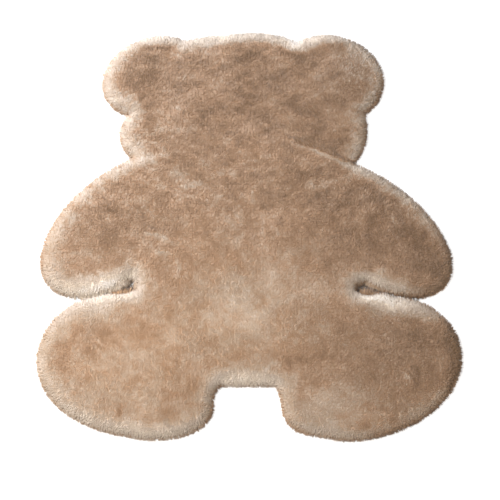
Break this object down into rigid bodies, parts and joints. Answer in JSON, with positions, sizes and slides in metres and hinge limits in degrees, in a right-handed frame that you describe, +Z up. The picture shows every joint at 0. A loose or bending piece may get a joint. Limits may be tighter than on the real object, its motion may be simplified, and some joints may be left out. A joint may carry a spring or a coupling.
{
  "type": "bear shaped fur rug",
  "caption": "Flat kids rug of dense sheared fur cut to a bear's outline, with head, two ears, arms and feet, a lumpy top and a soft rolled rim of fur locks.",
  "frame": {"origin": "on the floor under the middle of the rug's bounding box", "axes": "+Z up out of the pile, +Y from the feet to the top of the head, +X to the right hand side as one looks down on the rug with its head away"},
  "size_m": [0.9928, 1.057, 0.0286],
  "materials": {
    "tan_fur": "Dense sheared fur about 26 mm deep, matt and soft, tan brown at the tips and pale cream down the sides of the pile, which show all round the rim."
  },
  "bodies": {
    "root": {"fur_rug": "tan_fur"}
  },
  "joints": []
}
